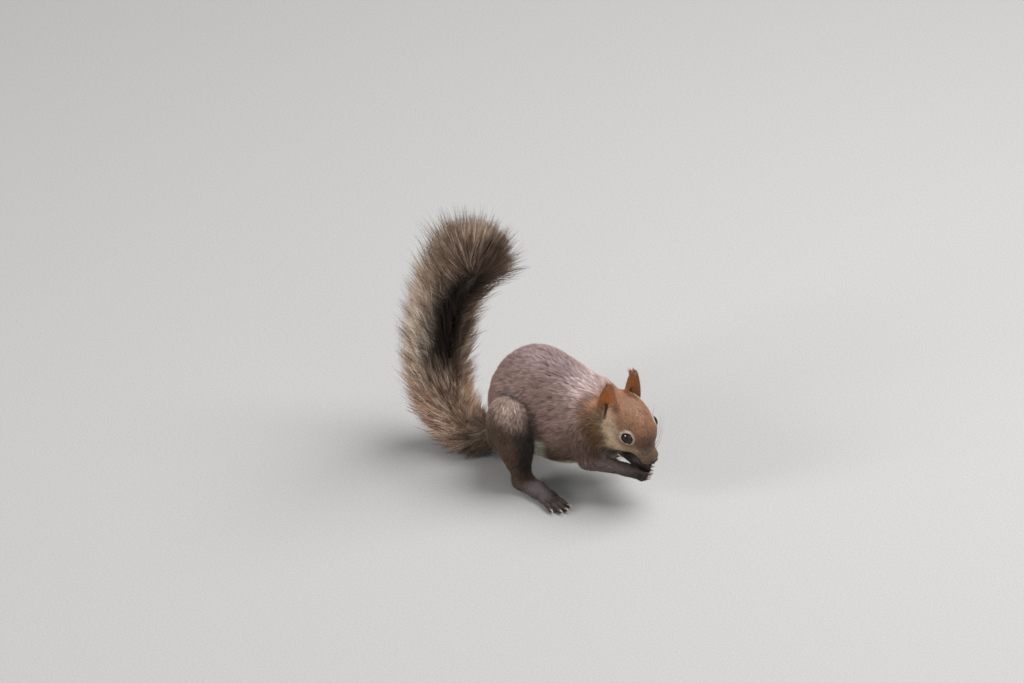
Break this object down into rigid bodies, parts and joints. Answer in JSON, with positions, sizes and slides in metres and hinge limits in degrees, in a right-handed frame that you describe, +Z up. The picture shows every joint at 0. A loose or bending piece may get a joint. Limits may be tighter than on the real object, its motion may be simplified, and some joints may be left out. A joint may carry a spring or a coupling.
{
  "type": "red squirrel",
  "caption": "Red squirrel squatting on its hind feet with hunched back, bowed head, hands held together at its mouth, and a bushy tail rising behind it.",
  "frame": {"origin": "on the ground, under the middle of the bounding box", "axes": "+X the way the body faces, +Y the animal's left, +Z up"},
  "size_m": [0.1886, 0.0926, 0.1843],
  "materials": {
    "body_fur": "short dense reddish-brown fur",
    "face_fur": "very short orange-brown fur",
    "ear_fur": "thin orange fur over skin",
    "leg_fur": "short grey-brown fur",
    "foot_fur": "very short dark grey-brown fur",
    "tail_fur": "long loose dark brown hair",
    "nose_skin": "bare moist skin",
    "eye": "wet glossy black-brown",
    "claw": "smooth pale horn"
  },
  "bodies": {
    "root": {"head": "face_fur", "neck": "body_fur", "nose": "nose_skin", "eye_right": "eye", "eye_left": "eye", "ear_right": "ear_fur", "ear_left": "ear_fur", "thigh_right": "leg_fur", "shank_right": "leg_fur", "foot_right": "foot_fur", "claw_foot_right_1": "claw", "claw_foot_right_2": "claw", "claw_foot_right_3": "claw", "claw_foot_right_4": "claw", "claw_foot_right_5": "claw", "upper_arm_right": "leg_fur", "forearm_right": "leg_fur", "hand_right": "foot_fur", "claw_hand_right_1": "claw", "claw_hand_right_2": "claw", "claw_hand_right_3": "claw", "claw_hand_right_4": "claw", "thigh_left": "leg_fur", "shank_left": "leg_fur", "foot_left": "foot_fur", "claw_foot_left_1": "claw", "claw_foot_left_2": "claw", "claw_foot_left_3": "claw", "claw_foot_left_4": "claw", "claw_foot_left_5": "claw", "upper_arm_left": "leg_fur", "forearm_left": "leg_fur", "hand_left": "foot_fur", "claw_hand_left_1": "claw", "claw_hand_left_2": "claw", "claw_hand_left_3": "claw", "claw_hand_left_4": "claw", "trunk": "body_fur", "tail_base": "tail_fur", "tail_middle": "tail_fur", "tail_upper": "tail_fur", "tail_tip": "tail_fur"}
  },
  "joints": []
}
